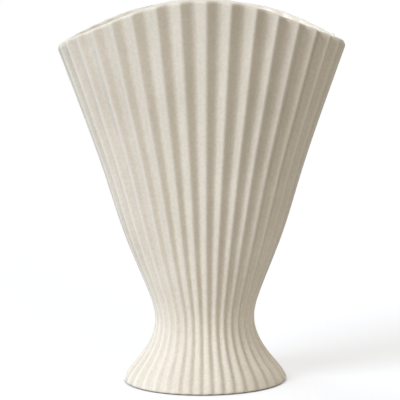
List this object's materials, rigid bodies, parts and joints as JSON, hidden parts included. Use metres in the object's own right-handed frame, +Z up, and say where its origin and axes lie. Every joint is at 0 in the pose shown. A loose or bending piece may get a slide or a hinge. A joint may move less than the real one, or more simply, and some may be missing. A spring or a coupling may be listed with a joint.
{
  "type": "fan vase",
  "caption": "Fluted ceramic fan vase with an arched rim, a pinched waist and a flared round foot, matt outside and glazed inside, for flowers and dried stems.",
  "frame": {"origin": "on the floor, under the middle of the foot", "axes": "+Z up; +X to the right across the broad side of the fan; the broad front faces -Y"},
  "size_m": [0.1732, 0.0986, 0.23],
  "materials": {
    "stoneware": "matt, fine-grained, warm off-white",
    "inner_glaze": "glossy, warm off-white",
    "pad_felt": "dense grey-brown felt"
  },
  "bodies": {
    "root": {"ceramic_body": "stoneware", "glaze_liner": "inner_glaze", "foot_pad_1": "pad_felt", "foot_pad_2": "pad_felt", "foot_pad_3": "pad_felt", "foot_pad_4": "pad_felt"}
  },
  "joints": []
}
